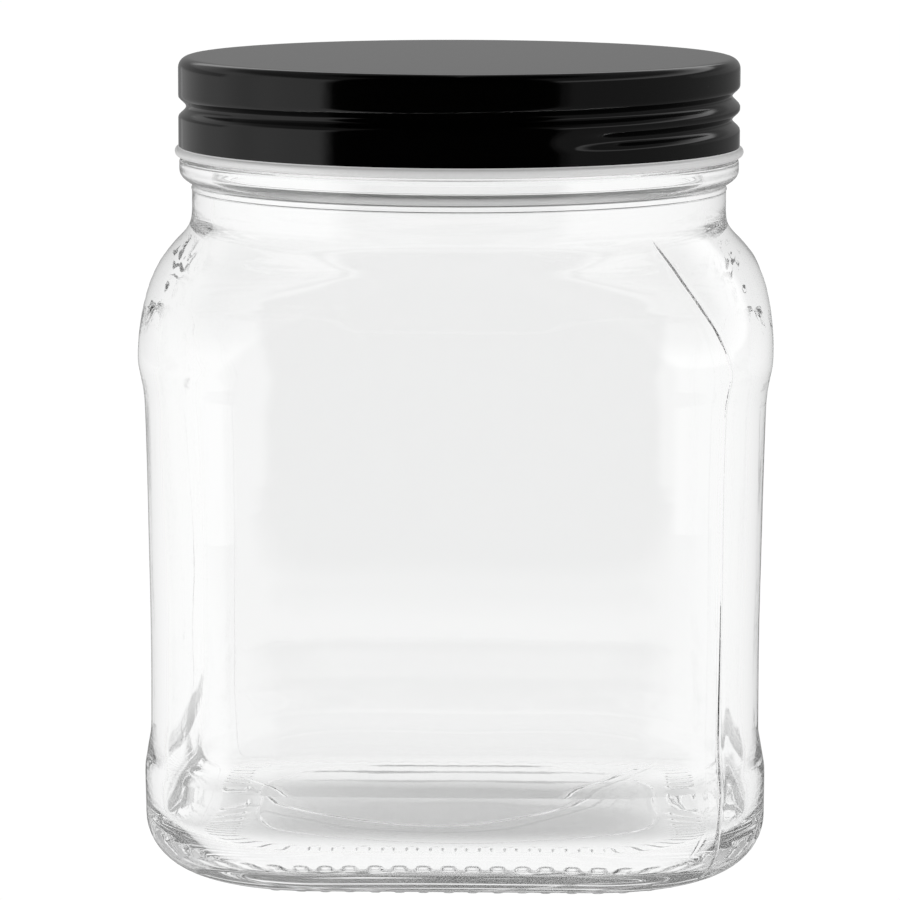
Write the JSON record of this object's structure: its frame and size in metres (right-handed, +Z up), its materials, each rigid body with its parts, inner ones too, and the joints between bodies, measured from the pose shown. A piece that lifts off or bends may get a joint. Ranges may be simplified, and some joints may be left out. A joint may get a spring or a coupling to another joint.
{
  "type": "square screw-top jar",
  "caption": "Square clear glass storage jar with large rounded corners, a bulging shoulder and a round neck, closed by a black metal screw lid with a rolled thread.",
  "frame": {"origin": "middle of the jar's bearing surface, on the axis of its neck", "axes": "+Z up along the axis of the neck, +X and +Y square to the flat sides, -Y towards the front face"},
  "size_m": [0.1264, 0.1264, 0.1624],
  "materials": {
    "glass": "clear pressed flint glass",
    "lid_black": "gloss black lacquer on tinplate, bare at the curled edge"
  },
  "bodies": {
    "root": {"jar": "glass", "lid": "lid_black"}
  },
  "joints": []
}
